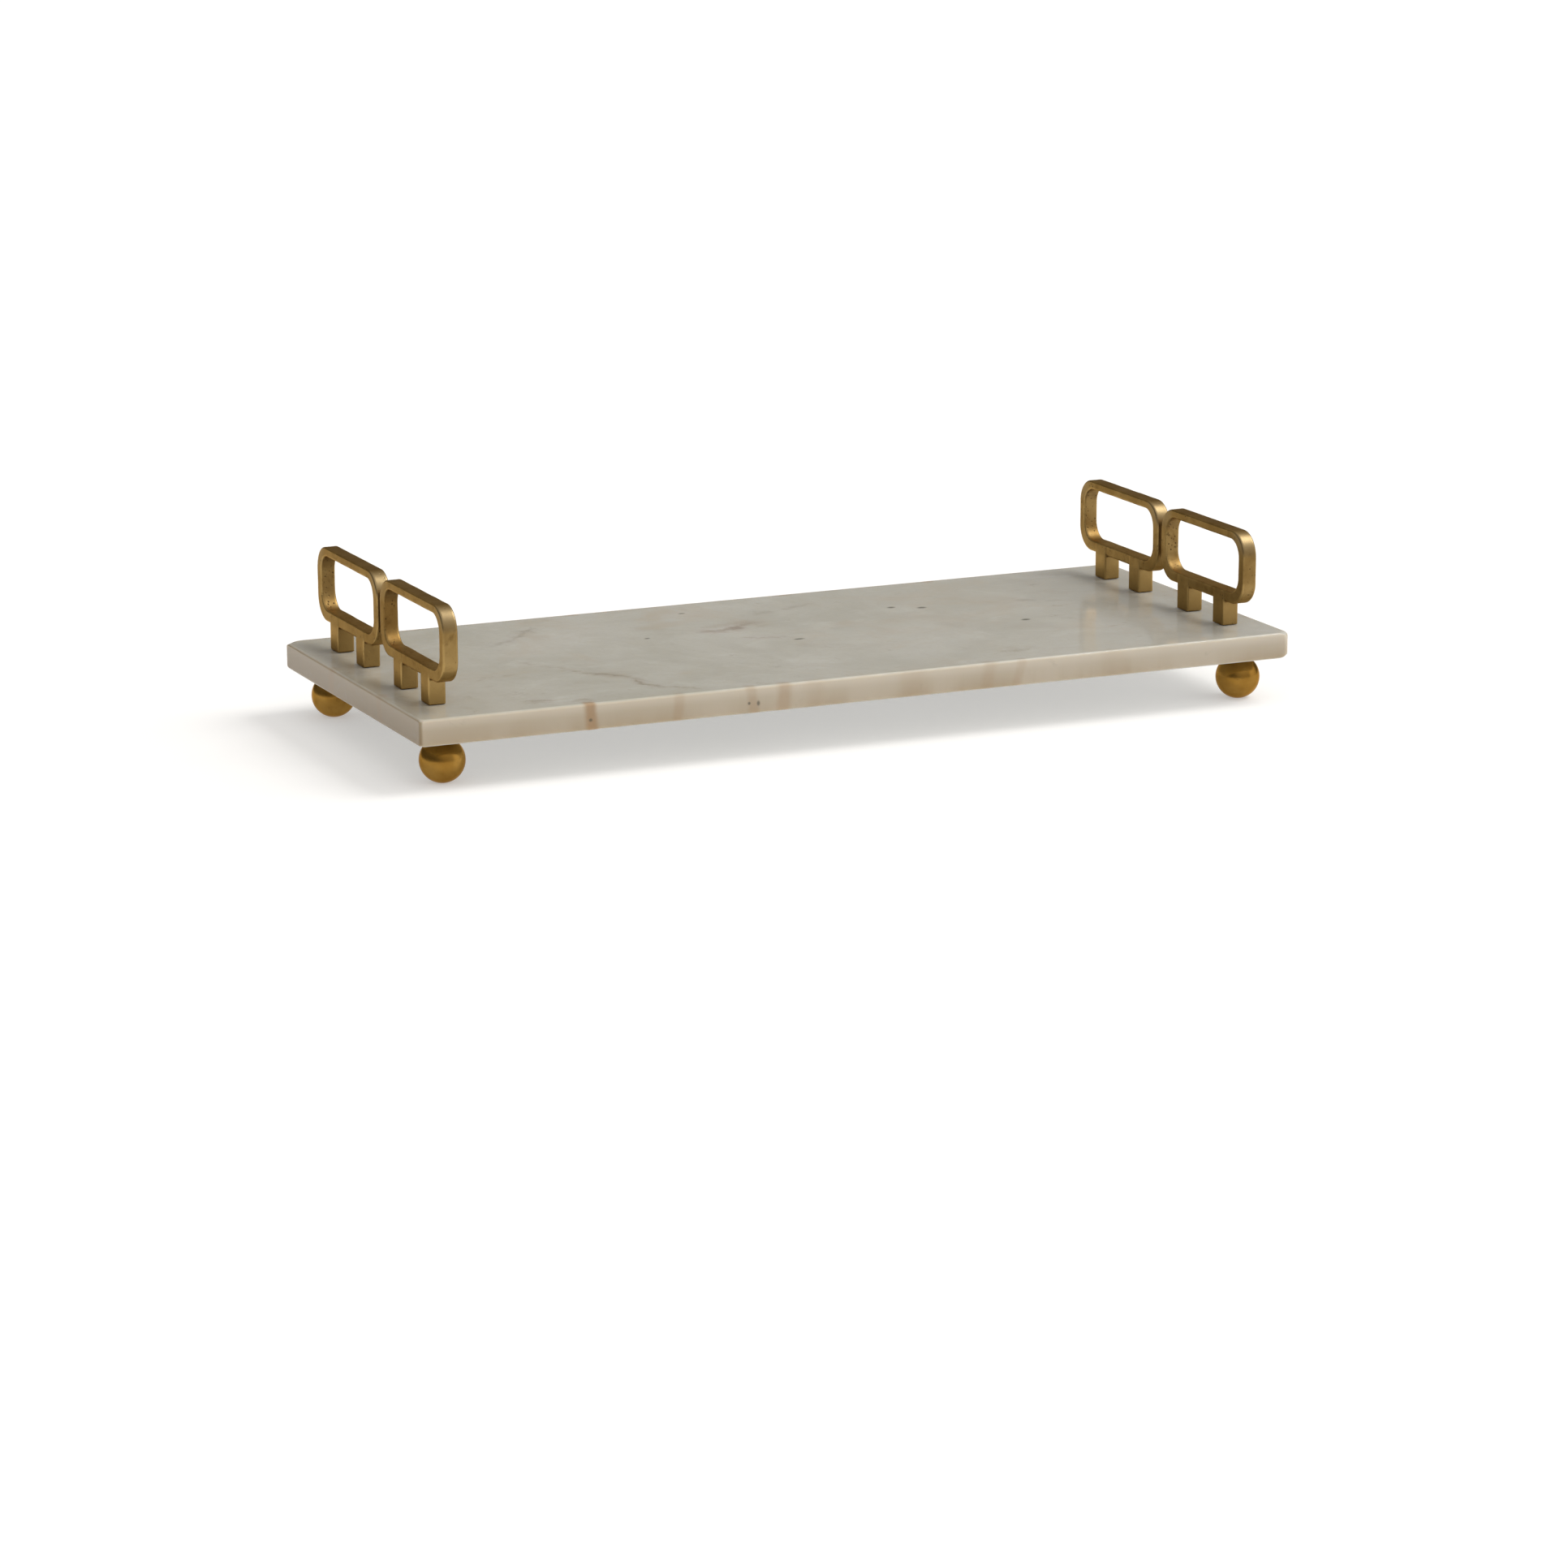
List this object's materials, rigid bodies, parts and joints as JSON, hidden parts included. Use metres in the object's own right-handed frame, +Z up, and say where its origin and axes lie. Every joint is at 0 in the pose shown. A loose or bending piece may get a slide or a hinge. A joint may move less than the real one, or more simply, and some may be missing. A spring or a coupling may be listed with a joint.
{
  "type": "dresser vanity tray",
  "caption": "Rectangular polished marble vanity tray on brass ball feet, with paired brass loop handles on square legs at each short end.",
  "frame": {"origin": "on the table plane under the middle of the tray", "axes": "+X along the tray towards its right-hand handle, +Y towards the back long side, +Z up"},
  "size_m": [0.53, 0.2214, 0.098],
  "materials": {
    "marble": "polished cream marble with soft brown veins",
    "satin_brass": "satin, lightly antiqued",
    "polished_brass": "polished",
    "insert_brass": "turned, unpolished",
    "steel": "zinc plated"
  },
  "bodies": {
    "root": {"marble_slab": "marble", "left_front_link": "satin_brass", "left_back_link": "satin_brass", "right_front_link": "satin_brass", "right_back_link": "satin_brass", "left_front_link_front_screw": "steel", "left_front_link_front_washer": "steel", "left_front_link_back_screw": "steel", "left_front_link_back_washer": "steel", "left_back_link_front_screw": "steel", "left_back_link_front_washer": "steel", "left_back_link_back_screw": "steel", "left_back_link_back_washer": "steel", "right_front_link_front_screw": "steel", "right_front_link_front_washer": "steel", "right_front_link_back_screw": "steel", "right_front_link_back_washer": "steel", "right_back_link_front_screw": "steel", "right_back_link_front_washer": "steel", "right_back_link_back_screw": "steel", "right_back_link_back_washer": "steel", "left_front_ball_foot": "polished_brass", "left_front_foot_stud": "steel", "left_front_foot_insert": "insert_brass", "left_back_ball_foot": "polished_brass", "left_back_foot_stud": "steel", "left_back_foot_insert": "insert_brass", "right_front_ball_foot": "polished_brass", "right_front_foot_stud": "steel", "right_front_foot_insert": "insert_brass", "right_back_ball_foot": "polished_brass", "right_back_foot_stud": "steel", "right_back_foot_insert": "insert_brass"}
  },
  "joints": []
}
